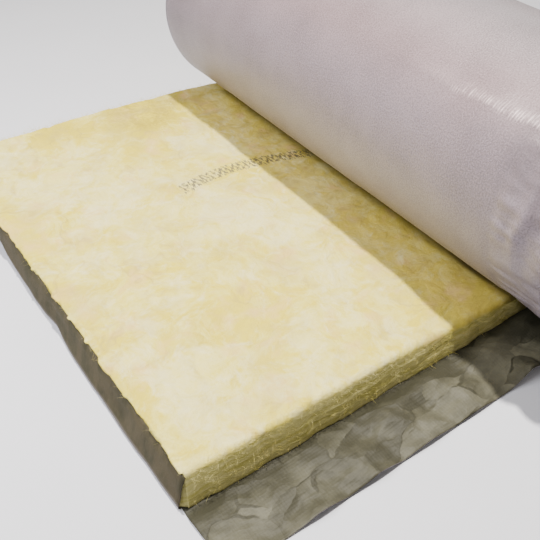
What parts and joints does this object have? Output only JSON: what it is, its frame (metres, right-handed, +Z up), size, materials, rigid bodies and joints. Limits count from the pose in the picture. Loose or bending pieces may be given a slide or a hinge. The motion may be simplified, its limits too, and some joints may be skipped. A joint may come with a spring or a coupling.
{
  "type": "partly unrolled insulation roll",
  "caption": "Roll of faced glass-wool blanket, its first stretch laid out flat with the wool up and the white facing under it and round the roll.",
  "frame": {"origin": "on the floor under the middle of the whole", "axes": "+Z up, +X along the unrolled run towards the roll, +Y along the roll's axis, away from the lap tab"},
  "size_m": [1.2418, 1.371, 0.572],
  "materials": {
    "glass_wool": "matt fibrous cream-yellow glass wool",
    "facing": "satin white vinyl sheet with a fine scrim emboss"
  },
  "bodies": {
    "root": {"glass_wool": "glass_wool", "facing": "facing"}
  },
  "joints": []
}
